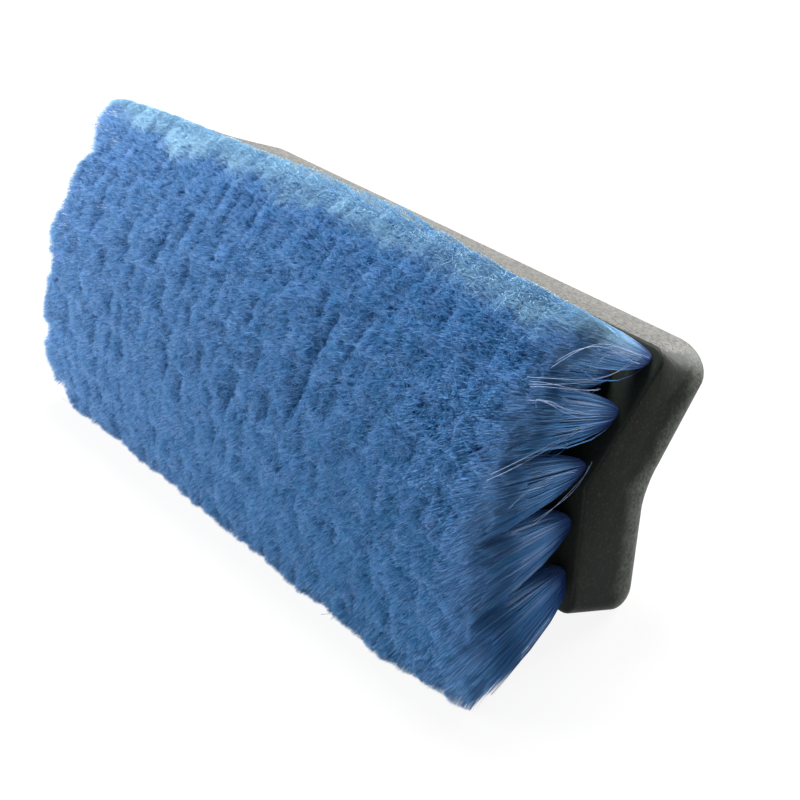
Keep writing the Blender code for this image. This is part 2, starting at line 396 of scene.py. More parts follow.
spot = where.outputs["Object"]
upright = tree.nodes.new("ShaderNodeMapping")
upright.vector_type = "TEXTURE"
upright.inputs["Location"].default_value = lying.translation
upright.inputs["Rotation"].default_value = lying.to_euler()
tree.links.new(spot, upright.inputs["Vector"])
axes = tree.nodes.new("ShaderNodeSeparateXYZ")
tree.links.new(upright.outputs["Vector"], axes.inputs["Vector"])
off_middle = tree.nodes.new("ShaderNodeMath")
off_middle.operation = "ABSOLUTE"
tree.links.new(axes.outputs["Z"], off_middle.inputs[0])
behind = tree.nodes.new("ShaderNodeMath")
behind.operation = "MULTIPLY_ADD"
behind.inputs[1].default_value = -math.tan(wing_sweep)
tree.links.new(off_middle.outputs[0], behind.inputs[0])
tree.links.new(axes.outputs["Y"], behind.inputs[2])
mottle = noise(tree, spot, scale=110.0, detail=6.0, rough=0.65)
speck = noise(tree, spot, scale=900.0, detail=3.0, rough=0.7)


def ragged_step(value, ragged, lowest, highest):
    """From 0 where a value is lowest to 1 where it is highest, with a border that the mottle makes ragged."""
    wavy = tree.nodes.new("ShaderNodeMath")
    wavy.operation = "MULTIPLY_ADD"
    wavy.inputs[1].default_value = ragged
    tree.links.new(mottle, wavy.inputs[0])
    tree.links.new(value, wavy.inputs[2])
    eased = tree.nodes.new("ShaderNodeMapRange")
    eased.interpolation_type = "SMOOTHSTEP"
    eased.inputs["From Min"].default_value = lowest
    eased.inputs["From Max"].default_value = highest
    tree.links.new(wavy.outputs[0], eased.inputs["Value"])
    return eased.outputs["Result"]


def toward(direction):
    """How far the surface faces an upright direction: 1 if squarely, 0 if it stands along it."""
    node = tree.nodes.new("ShaderNodeVectorMath")
    node.operation = "DOT_PRODUCT"
    node.inputs[1].default_value = lying.to_3x3() @ Vector(direction)
    tree.links.new(where.outputs["Normal"], node.inputs[0])
    return node.outputs["Value"]


# Painted shade: the dark plastic is made near-black, so the end faces and every face not turned up or back
# read as lying in shade.
dark_shaded_skin = ramp(tree, mottle, [
    (0.30, (0.0030, 0.0042, 0.0032)),
    (0.55, (0.0060, 0.0085, 0.0065)),
    (0.75, (0.013, 0.017, 0.013)),
])
# Painted highlight: the back and the rounds that face back get a lighter speckled grey, standing in for the
# light that the rounded back edges catch.
back_sheen_grey = ramp(tree, speck, [(0.35, (0.036, 0.041, 0.035)), (0.65, (0.130, 0.137, 0.120))])
back_sheen = tree.nodes.new("ShaderNodeMath")
back_sheen.operation = "MAXIMUM"
at_back = ragged_step(behind.outputs[0], ragged=0.012, lowest=0.025, highest=0.036)
facing_back = ragged_step(toward((0.0, 1.0, 0.0)), ragged=0.5, lowest=0.34, highest=1.15)
facing_up = ragged_step(toward((0.0, 0.0, 1.0)), ragged=0.2, lowest=1.00, highest=1.07)
tree.links.new(at_back, back_sheen.inputs[0])
tree.links.new(facing_back, back_sheen.inputs[1])
banded = mixed(tree, back_sheen.outputs[0], dark_shaded_skin, back_sheen_grey)
# Painted light: the flank that faces up gets a much paler speckled skin, standing in for the light falling on
# it from above.
flank_painted_light = ramp(tree, speck, [(0.36, (0.030, 0.030, 0.027)), (0.64, (0.190, 0.187, 0.172))])
front = tree.nodes.new("ShaderNodeMapRange")
front.inputs["From Min"].default_value = 0.0008
front.inputs["From Max"].default_value = 0.0002
tree.links.new(behind.outputs[0], front.inputs["Value"])
fronted = mixed(tree, front.outputs[0], banded, (0.018, 0.022, 0.018, 1.0))
base = mixed(tree, facing_up, fronted, flank_painted_light)
dust = ramp(tree, speck, [(0.55, grey(0.0)), (0.78, grey(0.5))])
speckled = mixed(tree, dust, base, (0.06, 0.06, 0.056, 1.0))
tree.links.new(speckled, shader.inputs["Base Color"])
rough = ramp(tree, mottle, [(0.3, grey(0.36)), (0.7, grey(0.52))])
tree.links.new(rough, shader.inputs["Roughness"])
bump = tree.nodes.new("ShaderNodeBump")
bump.inputs["Strength"].default_value = 0.35
bump.inputs["Distance"].default_value = 0.0002
tree.links.new(speck, bump.inputs["Height"])
tree.links.new(bump.outputs["Normal"], shader.inputs["Normal"])

block_body = shown("block_body", block_mesh, foam)
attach(block_body, "root")
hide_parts("block")

# BRISTLES. Each tuft is a bundle of fine synthetic filaments folded into its hole over a staple. They
# stand close at the root, fan out to meet the next tufts, and are flagged: each splits into fine hairs
# that mat with their neighbours into one soft, lumpy face.

stem_rings = 7
ring_shares = np.array((0.0, 0.0, 0.05, 0.14, 0.30, 0.56, 1.0))
triangle_budget = 176000
stem_triangles = 37
hair_triangles = 3


def growing_prism(rings, pointed):
    """One fibre: a three-sided prism that rises one unit a ring, closed to a point if it is a hair."""
    bm = bmesh.new()
    ring = bmesh.ops.create_circle(bm, segments=3, radius=1.0)["verts"]
    edges = bm.edges[:]
    for step in range(1, rings):
        grown = bmesh.ops.extrude_edge_only(bm, edges=edges)["geom"]
        ring = [item for item in grown if isinstance(item, bmesh.types.BMVert)]
        grown_edges = [item for item in grown if isinstance(item, bmesh.types.BMEdge)]
        edges = [edge for edge in grown_edges if all(vert in ring for vert in edge.verts)]
        bmesh.ops.translate(bm, verts=ring, vec=(0.0, 0.0, 1.0))
    if pointed:
        bmesh.ops.pointmerge(bm, verts=ring, merge_co=(0.0, 0.0, rings - 1.0))
    else:
        bmesh.ops.contextual_create(bm, geom=edges)
    bmesh.ops.recalc_face_normals(bm, faces=bm.faces)
    mesh = bpy.data.meshes.new("fibre")
    bm.to_mesh(mesh)
    bm.free()
    return mesh


def repeated(mesh, count):
    """A mesh of this many copies, one after the other."""
    holder = bpy.data.objects.new("fibres", mesh)
    bpy.context.scene.collection.objects.link(holder)
    repeat = holder.modifiers.new("repeat", "ARRAY")
    repeat.count = count
    repeat.use_relative_offset = False
    bpy.context.view_layer.update()
    made = bpy.data.meshes.new_from_object(holder.evaluated_get(bpy.context.evaluated_depsgraph_get()))
    bpy.data.objects.remove(holder)
    return made


def labels(mesh):
    """Ring and side of each vertex of one fibre, and the vertex of each face corner."""
    place = np.empty(len(mesh.vertices) * 3, np.float32)
    mesh.vertices.foreach_get("co", place)
    place = place.reshape(-1, 3)
    corner = np.empty(len(mesh.loops), np.int32)
    mesh.loops.foreach_get("vertex_index", corner)
    return np.rint(place[:, 2]).astype(int), place[:, :2].astype(float), corner


stem = growing_prism(stem_rings, False)
hair = growing_prism(2, True)
stem_ring, stem_side, stem_corner = labels(stem)
hair_ring, hair_side, hair_corner = labels(hair)


def random_at(cell_x, cell_w, seed):
    """A repeatable draw between 0 and 1 for each cell: the fraction of a large multiple of a sine."""
    x_step = 127.1
    w_step = 311.7
    seed_step = 74.7
    multiple = 43758.5453
    value = np.sin(cell_x * x_step + cell_w * w_step + seed * seed_step) * multiple
    return value - np.floor(value)


def clumps(x, w, pitch, seed):
    """Vector to the nearest clump centre, and a draw for that clump, on the unrolled bristle face."""
    nearest = np.full(x.shape, np.inf)
    pull = np.zeros(x.shape + (2,))
    level = np.zeros(x.shape)
    for step_x in (-1, 0, 1):
        for step_w in (-1, 0, 1):
            cell_x = np.floor(x / pitch) + step_x
            cell_w = np.floor(w / pitch) + step_w
            dx = (cell_x + random_at(cell_x, cell_w, seed)) * pitch - x
            dw = (cell_w + random_at(cell_x, cell_w, seed + 1)) * pitch - w
            gap = np.hypot(dx, dw)
            closer = gap < nearest
            nearest = np.where(closer, gap, nearest)
            pull[closer] = np.stack((dx, dw), axis=-1)[closer]
            level = np.where(closer, random_at(cell_x, cell_w, seed + 2), level)
    return pull, level


def waves(x, w, scale, seed):
    """Slow waves over the bristle face, between about -1 and 1: five that cross at uneven angles."""
    turn_step = 2.4
    phase_step = 1.7
    slowest = 0.8
    pace_step = 0.12
    full_height = 2.6
    total = 0.0
    for part in range(5):
        turn = turn_step * part + seed
        pace = math.tau / scale * (slowest + pace_step * part)
        total = total + np.sin(pace * (x * math.cos(turn) + w * math.sin(turn)) + phase_step * part + seed)
    return total / full_height


# The bristle plastic. The colour attribute holds how far along its fibre a vertex is, a draw for pale
# streaks that are painted highlights, a draw for the tint, which also carries painted light, and how far
# painted light pales the upper edge.
blue = bpy.data.materials.new("flagged_blue_bristle")
blue.use_nodes = True
tree = blue.node_tree
shader = tree.nodes["Principled BSDF"]
strand = tree.nodes.new("ShaderNodeAttribute")
strand.attribute_name = "strand"
split = tree.nodes.new("ShaderNodeSeparateColor")
tree.links.new(strand.outputs["Color"], split.inputs["Color"])
along_strand, draw_strand, tint_strand = split.outputs
# The blue along a fibre is partly its own colour, paler at the flagged tips, and partly painted shade:
# near-black navy at the roots where the tufts crowd into the block, and a darker dip at 0.55 where the hairs
# start, so the pits between clumps read dark.
blue_with_painted_shade = ramp(tree, along_strand, [
    (0.0, (0.0045, 0.035, 0.160)),
    (0.10, (0.0055, 0.058, 0.225)),
    (0.25, (0.028, 0.175, 0.410)),
    (0.38, (0.070, 0.330, 0.620)),
    (0.55, (0.046, 0.265, 0.530)),
    (0.80, (0.132, 0.400, 0.680)),
    (1.0, (0.280, 0.570, 0.860)),
])
# Painted highlights: pale lilac streaks on some filaments, mostly along the middle of the stems, stand in for
# glints on the glossy plastic.
pale_share = ramp(tree, draw_strand, [(0.50, grey(0.0)), (0.82, grey(0.85))])
pale_along = ramp(tree, along_strand, [
    (0.18, grey(0.0)),
    (0.42, grey(0.9)),
    (0.65, grey(0.7)),
    (0.90, grey(0.2)),
])
streak_highlight = mixed(tree, 1.0, pale_share, pale_along, "MULTIPLY")
# The tint is partly a random tone and partly painted light: a low value is lighter and more lavender, a high
# one darker and more cyan.
tint_and_painted_light = ramp(tree, tint_strand, [
    (0.15, (1.0, 0.86, 0.98)),
    (0.55, (0.73, 0.75, 0.93)),
    (0.9, (0.39, 0.65, 0.83)),
])
tinted = mixed(tree, 1.0, blue_with_painted_shade, tint_and_painted_light, "MULTIPLY")
highlight_streaked = mixed(tree, streak_highlight, tinted, (0.42, 0.56, 0.82, 1.0))
# Painted light: the upper edge and far rim are mixed towards pale cyan, standing in for the light falling on
# them from above and behind.
upper_light_paled = mixed(tree, strand.outputs["Alpha"], highlight_streaked, (0.50, 0.80, 1.0, 1.0))
tree.links.new(upper_light_paled, shader.inputs["Base Color"])
shader.inputs["Roughness"].default_value = 0.65
shader.inputs["Sheen Weight"].default_value = 0.25
shader.inputs["Sheen Roughness"].default_value = 0.5
shader.inputs["Sheen Tint"].default_value = (0.55, 0.75, 1.0, 1.0)
shader.inputs["Specular IOR Level"].default_value = 0.2

spread = math.radians(23.6)
droop = math.radians(12.8)
bristle_length = 0.0500
outermost = row_along(0)
root_radius = 0.0021

# The bristle face is one smooth curve through the rows' middle tips. A place on it is x along the block
# and q across the rows, which is 0 at the upper row and 9 at the lower one.
row_index = np.arange(rows)
row_alongs = np.array([row_along(row) for row in range(rows)])
row_turns = spread * row_alongs / outermost - droop
row_outs = -np.abs(row_alongs) * math.sin(wing_sweep) + bristle_length * np.cos(row_turns)
row_ups = row_alongs * math.cos(wing_sweep) + bristle_length * np.sin(row_turns)
face_out = np.polyfit(row_index, row_outs, 3)
face_up = np.polyfit(row_index, row_ups, 3)
row_arc = 0.0142
lowest = 9.38


def face_normal(q):
    """Outward direction of the bristle face at a place between rows, as out and up."""
    slope_out = np.polyval(np.polyder(face_out), q)
    slope_up = np.polyval(np.polyder(face_up), q)
    size = np.hypot(slope_out, slope_up)
    return -slope_up / size, slope_out / size


def face_point(x, q, depth):
    """The point this deep below the bristle face, as along the block, out and up."""
    normal_out, normal_up = face_normal(q)
    out = np.polyval(face_out, q) - depth * normal_out
    up = np.polyval(face_up, q) - depth * normal_up
    return np.stack((x, out, up), axis=-1)


def down_face(x, q):
    """The direction down the bristle face, square to the block's length."""
    step = face_point(x, q + 0.1, 0.0) - face_point(x, q, 0.0)
    return step / np.linalg.norm(step, axis=1)[:, None]


def upper_limit(x):
    """Where the bristle face ends above the upper row, which it passes by up to 0.8 of a row."""
    return np.interp(
        x, (-0.121, -0.085, -0.050, -0.037, -0.014, 0.038, 0.063, 0.088, 0.111, 0.124),
        (-0.31, -0.51, -0.58, -0.63, -0.73, -0.82, -0.70, -0.55, -0.53, -0.46),
    )


def near_limit(q):
    """Near end of the bristle face, which bulges towards the lower rows."""
    return np.interp(
        q, (0.0, 4.0, 6.0, 8.0, 8.6, 9.0, 9.38),
        (0.1285, 0.1295, 0.1315, 0.1355, 0.1355, 0.1330, 0.1307),
    )


# The five outer tufts of the far end: row, reach along the block and how fast the lobe falls back
far_lobes = (
    (0.28, 0.1272, 0.0082),
    (2.32, 0.1227, 0.0080),
    (3.95, 0.1253, 0.0055),
    (6.05, 0.1226, 0.0045),
    (7.95, 0.1257, 0.0045),
)
cut_back_from = 8.35
cut_back_slope = 0.007


def far_edge(q):
    """Far end of the bristle face: five lobes, and a cut-back lower corner."""
    reach = np.max([far - fall * (q - middle)**2 for middle, far, fall in far_lobes], axis=0)
    return cut_back_slope * np.maximum(q - cut_back_from, 0.0) - reach


# Places where worn bristles have parted: from x and row to x and row, depth and half width
partings = (
    (0.0420, 2.2, 0.0372, 4.9, 0.0090, 0.0019),
    (-0.0160, 0.7, -0.0150, 2.4, 0.0024, 0.0011),
    (0.0080, 4.6, 0.0010, 5.7, 0.0032, 0.0024),
    (0.0575, 1.8, 0.0540, 2.9, 0.0026, 0.0014),
)


def rounded(t, depth):
    """How far a rounded shoulder has dropped at this share of its width."""
    t = np.clip(t, 0.0, 1.0)
    return depth * (1 - np.sqrt(1 - t * t))


def face_drop(x, q):
    """Depth below the smooth curve: rounded shoulders all round, a full lower rim, partings and waves."""
    upper_foot = 0.45
    lower_width = 0.25
    far_width = 0.005
    near_width = 0.011
    drop = rounded((upper_foot - q) / (upper_foot - upper_limit(x)), 0.0065)
    drop = drop + rounded((q - lowest + lower_width) / lower_width, 0.0013)
    drop = drop + rounded((far_edge(q) + far_width - x) / far_width, 0.0025)
    drop = drop + rounded((x - near_limit(q) + near_width) / near_width, 0.0068)
    rim_row = 9.3
    rim_width = 0.9
    rim_height = 0.0029
    rim_share = np.interp(x, (-0.07, 0.05, 0.10, 0.125), (0.0, 1.0, 1.3, 0.3))
    drop = drop - rim_height * np.exp(-((q - rim_row) / rim_width)**2) * rim_share
    for x_from, q_from, x_to, q_to, depth, width in partings:
        share = (q - q_from) / (q_to - q_from)
        gap = (x - x_from - (x_to - x_from) * share) / width
        drop = drop + depth * np.exp(-gap * gap - (2 * share - 1)**6)
    w = row_arc * q
    return drop + 0.0007 * waves(x, w, 0.019, 1.0) + 0.0005 * waves(x, w, 0.0085, 2.0)


def upper_edge_light(x, q):
    """One along the upper edge and the far rim, where painted light from above and behind makes the bristles
    palest, and nothing elsewhere.
    """
    w = row_arc * q
    foot = 0.46 + 0.18 * waves(x, w, 0.034, 5.0) + 0.12 * waves(x, w, 0.010, 6.0)
    foot = foot + np.interp(x, (-0.10, -0.02, 0.095, 0.128), (0.12, 0.0, 0.0, 0.20))
    fade = 0.65
    strength = np.interp(x, (-0.01, 0.04, 0.122), (1.0, 0.82, 0.72))
    share = np.clip((foot - q) / fade, 0.0, 1.0) * strength
    rim_width = 0.0035
    rim_strength = 0.6
    at_far = rim_strength * np.clip(1 - (x - far_edge(q)) / rim_width, 0.0, 1.0)
    return np.maximum(share * share * (3 - 2 * share), at_far)


def tuft_cells(row, places):
    """Middles and borders, along the block, of the cells of the face that a row's tufts fill."""
    lean = 0.005
    lean_gain = 0.0015
    far_shift = 0.004
    near_shift = 0.005
    far_inset = 0.0010
    near_inset = 0.003
    inset = row % 2
    middles = places + lean - lean_gain * places / column_reach
    middles[0] -= far_shift * inset
    middles[-1] += near_shift * inset
    between = (middles[1:] + middles[:-1]) / 2
    first = far_edge(row) + far_inset * inset
    last = near_limit(row) - near_inset * inset
    return middles, np.concatenate(((first,), between, (last,)))


def spread_out(row, middles, borders, tuft, fan):
    """Place on the face of a spot of a tuft's fan, which runs from -1 to 1 both ways."""
    reach_x = np.where(fan[:, 0] < 0, middles[tuft] - borders[tuft], borders[tuft + 1] - middles[tuft])
    x = middles[tuft] + fan[:, 0] * reach_x
    outer = 1 - row % 2
    near = outer * (tuft == len(middles) - 1)
    far = outer * (tuft == 0)
    half_cell = 0.56
    far_extra = 0.10
    near_up = 0.38 if row > 4 else 0.14
    near_down = 0.10 if row == 0 else 0.42
    reach_up = row - upper_limit(x) if row == 0 else half_cell + near_up * near + far_extra * far
    reach_down = lowest - row if row == rows - 1 else half_cell + near_down * near + far_extra * far
    return x, row + fan[:, 1] * np.where(fan[:, 1] < 0, reach_up, reach_down)


def valley_depth(x, tuft, borders, border_strength, splits, split_strength):
    """Depth of the valleys at both borders of a tuft and of the split in its middle."""
    split_width = 0.0013
    split_depth = 0.0030
    border_width = 0.0016
    border_depth = 0.0034
    gap = (x - splits[tuft]) / split_width
    depth = split_depth * split_strength[tuft] * np.exp(-gap * gap)
    for side in (0, 1):
        gap = (x - borders[tuft + side]) / border_width
        depth = depth + border_depth * border_strength[tuft + side] * np.exp(-gap * gap)
    return depth


def fan_spots(rng, number, on_rim):
    """Random spots of a fan, as a disc and as a square: a share on its rim, the others all over it."""
    rim_width = 0.10
    squareness = 5
    turn = rng.random(number) * math.tau
    rim = rng.random(number) < on_rim
    rim_radius = 1 - rim_width + rim_width * rng.random(number)
    radius = np.where(rim, rim_radius, np.sqrt(rng.random(number)))
    disc = np.stack((np.cos(turn), np.sin(turn)), axis=1) * radius[:, None]
    edge = (np.abs(np.cos(turn))**squareness + np.abs(np.sin(turn))**squareness)[:, None]**(1 / squareness)
    return disc, disc / edge


def root_points(row, place, disc):
    """Where fibres leave their hole, on a disc that lies square to the hole."""
    along = row_along(row)
    hole = np.array((-abs(along) * math.sin(wing_sweep), along * math.cos(wing_sweep)))
    up_wing = np.array((-math.copysign(math.sin(wing_sweep), along), math.cos(wing_sweep)))
    roots = np.empty((len(place), 3))
    roots[:, 0] = place + disc[:, 0] * root_radius
    roots[:, 1:] = hole - disc[:, 1:2] * root_radius * up_wing
    return roots


def grown_fibres(row, roots, heading, fan, tips, shares):
    """Points along fibres of a row, which leave the root close together and flare to their tips."""
    flare_power = 0.60
    upper_stiffness = 0.18
    lower_slack = 0.16
    ahead = ((tips - roots) * heading).sum(axis=1)
    sideways = (tips - roots) - ahead[:, None] * heading
    upward = np.clip(-fan[:, 1], 0.0, 1.0) * (row == 0)
    downward = np.clip(fan[:, 1], 0.0, 1.0) * (row == rows - 2)
    flare = shares**(flare_power + upper_stiffness * upward - lower_slack * downward)[:, None]
    forward = ahead[:, None] * shares
    return roots[:, None] + forward[..., None] * heading[:, None] + sideways[:, None] * flare[..., None]


def walls(points, ring, side, radius, down):
    """Vertices of three-sided fibres round their points: x along the block and y down the face."""
    sideways = side[None, :, 0:1] * np.array((1.0, 0.0, 0.0)) + side[None, :, 1:2] * down[:, None, :]
    return points[:, ring] + radius[ring][None, :, None] * sideways


def strips(number, ring, side, corner, top, left, width, columns_across):
    """One small strip of the bake for each fibre, in rows of this many."""
    bands = int(math.ceil(number / columns_across))
    index = np.arange(number)[:, None]
    round_share = (np.arctan2(side[corner, 1], side[corner, 0]) / math.tau % 1.0)[None, :]
    up_share = (ring[corner] / top)[None, :]
    u = left + width * (index % columns_across + 0.1 + 0.8 * round_share) / columns_across
    v = (index // columns_across + 0.05 + 0.9 * up_share) / bands
    return np.stack(np.broadcast_arrays(u, v), axis=-1).reshape(-1, 2)


def laid_down(verts):
    """Upright points turned into the lying pose, with the lowest tips bent to stay above the floor."""
    floor_ease = 0.0015
    laid = np.stack((verts[:, 0], -verts[:, 1], verts[:, 2]), axis=1)
    laid = laid @ np.array(lying.to_3x3()).T + np.array(lying.translation)
    low = laid[:, 2] < floor_ease
    laid[low, 2] = floor_ease * np.exp((laid[low, 2] - floor_ease) / floor_ease)
    return laid


# How thick the fibres are, how many stems a tuft has and how loosely its stems and hairs stand
stem_radius = np.interp(ring_shares, (0.0, 0.56, 1.0), (0.00024, 0.00023, 0.00008))
hair_radius = np.array((0.00010, 0.0))
inner_stems = 50
outer_row_stems = 120
far_end_stems = 160
near_end_stems = (220, 500)
stem_rim_share = 0.45
hair_rim_share = 0.12
under_hairs = 0.0008
into_hole = 0.004
bow_size = 0.00035
stray_share = 0.04
stray_bow = 6.0
field_length = 0.26
clump_pitch = 0.0021
clump_seed = 11
clump_steepness = 380.0
fleck_pitch = 0.0013
fleck_seed = 31
streak_pitch = 0.11
streak_seed = 50
bundle_pitch = 0.14
bundle_seed = 20
row_seed = 1200
gathered = 0.25
edge_width = 0.005
comb_direction = np.array((0.98, 0.10, -0.10))
blur_along = 0.0006
blur_across = 0.07
clump_relief = 0.0004
fleck_relief = 0.0006
usual_depth = 0.0004
shortest_hair = 0.0022
hair_length_range = 0.0032
hair_scatter = 0.0011
wild_scatter = 0.0022
wild_share = 0.15
hair_root_tone = 0.55

for row in range(rows):
    rng = np.random.default_rng(row_seed + row)
    places = np.array(tuft_places(row))
    tufts = len(places)
    from_end = np.minimum(np.arange(tufts), np.arange(tufts)[::-1])
    usual_stems = outer_row_stems if row in (0, rows - 1) else inner_stems
    stem_counts = np.where(from_end < 2, far_end_stems, usual_stems)
    stem_counts[-2:] = near_end_stems
    count = int(stem_counts.sum())
    tuft = np.repeat(np.arange(tufts), stem_counts)
    last_tuft = tuft == tufts - 1

    # Where on the face each tuft goes, and how deep the valleys round it are
    middles, borders = tuft_cells(row, places)
    uneven = 0.25 + 1.0 * rng.random(len(borders))
    border_strength = uneven * np.interp(borders, (-0.10, 0.04, 0.11), (1.0, 0.55, 0.2))
    border_strength[0] = border_strength[-1] = 0.0
    splits = middles + rng.uniform(-0.003, 0.003, tufts)
    split_strength = 0.75 * rng.random(tufts) * np.interp(middles, (-0.10, 0.04), (1.0, 0.45))
    valleys = (borders, border_strength, splits, split_strength)
    straight = np.empty((tufts, 3))
    straight[:, 0] = middles - places
    straight[:, 1] = bristle_length * math.cos(row_turns[row])
    straight[:, 2] = bristle_length * math.sin(row_turns[row])
    straight = straight / np.linalg.norm(straight, axis=1)[:, None]

    # Stems, slightly bowed, with a few strays at the near end
    disc, fan = fan_spots(rng, count, stem_rim_share)
    tip_x, tip_q = spread_out(row, middles, borders, tuft, fan)
    tip_depth = face_drop(tip_x, tip_q) + valley_depth(tip_x, tuft, *valleys) + under_hairs
    tips = face_point(tip_x, tip_q, tip_depth)
    strays = (rng.random(count) < stray_share) & last_tuft & (fan[:, 1] > 0.0)
    bow = rng.normal(0.0, bow_size, (count, 3)) * np.where(strays, stray_bow, 1.0)[:, None]
    stem_shares = np.broadcast_to(ring_shares, (count, stem_rings))
    stems = grown_fibres(row, root_points(row, places[tuft], disc), straight[tuft], fan, tips, stem_shares)
    stems = stems + bow[:, None, :] * (4 * ring_shares * (1 - ring_shares))[None, :, None]
    stems[:, 0] -= into_hole * straight[tuft]
    _, streak = clumps(fan[:, 0], fan[:, 1], streak_pitch, streak_seed + row)
    # A stem's tint is partly random and partly painted light, rising towards the near end so that the face is
    # painted darker there.
    stem_tint = 0.20 * rng.random(count) + 0.50 * streak + 0.36 * (tip_x / field_length + 0.5)

    # Hair ends. They gather into clumps of uneven depth, less so where they are combed along the upper
    # edge, and stay calm near every edge of the face, most of all at the near end.
    hair_count = (triangle_budget - stem_triangles * count) // hair_triangles
    hair_tuft = np.sort(rng.integers(0, tufts, hair_count))
    hair_disc, hair_fan = fan_spots(rng, hair_count, hair_rim_share)
    x, q = spread_out(row, middles, borders, hair_tuft, hair_fan)
    x = np.clip(x + rng.normal(0.0, blur_along, hair_count), far_edge(q), near_limit(q))
    q = np.clip(q + rng.normal(0.0, blur_across, hair_count), upper_limit(x), lowest)
    gather, tip_level = clumps(x, row_arc * q, clump_pitch, clump_seed)
    _, fleck = clumps(x, row_arc * q, fleck_pitch, fleck_seed)
    to_near = near_limit(q) - x
    near_reach = np.interp(q, (0.0, 9.0), (0.009, 0.014))
    at_near = np.clip(1.4 - to_near / near_reach, 0.0, 1.0)
    combed = np.clip((0.30 - q) / 0.5, 0.0, 1.0) * (1 - at_near)
    to_side = np.minimum(x - far_edge(q), to_near)
    to_edge = np.minimum(to_side, np.minimum(q - upper_limit(x), lowest - q) * row_arc)
    calm = np.clip(to_edge / edge_width, 0.2, 1.0) * (1 - 0.75 * at_near)
    loose = (1 - 0.55 * combed) * calm
    end_x = x + gathered * loose * gather[:, 0]
    end_q = q + gathered * loose * gather[:, 1] / row_arc
    end_q = np.clip(end_q, upper_limit(end_x), lowest)
    depth = valley_depth(x, hair_tuft, *valleys) + clump_relief * tip_level + fleck_relief * fleck
    depth = depth + clump_steepness * np.hypot(gather[:, 0], gather[:, 1])**2
    depth = depth + rng.exponential(usual_depth, hair_count)
    depth = face_drop(x, q) + loose * depth
    ends = face_point(end_x, end_q, depth)

    # Hair roots: on the way of a stem, and longer at the near end and along the combed upper edge
    hair_length = shortest_hair + hair_length_range * rng.random(hair_count)
    near_length = 0.0080 + 0.0070 * np.clip((q - 3.5) / 2, 0.0, 1.0)
    hair_length = hair_length + near_length * np.maximum(at_near, 0.25 * combed)
    wild = rng.random(hair_count) < wild_share
    scatter = np.where(wild, wild_scatter, hair_scatter) * calm * (1 - 0.4 * combed)
    hair_roots = root_points(row, places[hair_tuft], hair_disc)
    start_shares = 1 - hair_length[:, None] / bristle_length
    starts = grown_fibres(row, hair_roots, straight[hair_tuft], hair_fan, ends, start_shares)[:, 0]
    starts = starts + 0.35 * combed[:, None] * (ends - hair_length[:, None] * comb_direction - starts)
    starts = starts + rng.normal(0.0, 1.0, (hair_count, 3)) * scatter[:, None]
    hairs = np.stack((starts, ends), axis=1)

    # Tones: place along the fibre, draw for pale streaks (painted highlights), tint (with painted light) and
    # the painted light of the upper edge
    _, bundle = clumps(fan[:, 0], fan[:, 1], bundle_pitch, bundle_seed + row)
    # Painted sheen: more pale streaks along the top of the first row's near tuft.
    upper_sheen_streaks = 0.22 * (last_tuft & (row == 0) & (fan[:, 1] < 0.2))
    stem_share = ring_shares[stem_ring][None, :]
    pale_from_root = np.where(last_tuft[:, None], np.clip(1.8 * stem_share - 0.25, 0.0, 1.0), stem_share**2)
    stem_tone = np.ones((count, len(stem_ring), 4))
    stem_tone[..., 0] = stem_share
    stem_tone[..., 1] = (0.45 * rng.random(count) + 0.55 * bundle + upper_sheen_streaks)[:, None]
    stem_tone[..., 2] = stem_tint[:, None]
    stem_tone[..., 3] = upper_edge_light(tip_x, tip_q)[:, None] * pale_from_root
    # More painted highlight streaks on the hairs close to the near end.
    hair_streaks = (0.4 + 0.4 * at_near) * rng.random(hair_count) + 0.2 * at_near * (q < 0.8)
    # A hair's tint is partly random (clumps, waves, flecks) and partly painted light: darker towards the near
    # end, lighter again right at the near end; it is also darker towards the lower rows.
    hair_tint = 0.20 * tip_level + 0.15 * (1 + waves(x, row_arc * q, 0.013, 8.0)) + 0.34 * (fleck - 0.5)
    hair_tint = hair_tint + 0.16 * np.clip((q - 5) / 4, 0.0, 1.0)
    hair_tint = hair_tint + 0.55 * (x / field_length + 0.5) - 0.35 * at_near
    hair_upper_light = upper_edge_light(x, q) * (0.65 + 0.7 * rng.random(hair_count))
    hair_tone = np.ones((hair_count, len(hair_ring), 4))
    # Painted shade: the hairs start at the ramp's dark dip, so the pits between clumps are darker.
    hair_tone[..., 0] = hair_root_tone + (1.0 - hair_root_tone) * hair_ring[None, :]
    hair_tone[..., 1] = hair_streaks[:, None]
    hair_tone[..., 2] = np.clip(hair_tint, 0.0, 1.0)[:, None]
    hair_tone[..., 3] = np.clip(hair_upper_light, 0.0, 1.0)[:, None]

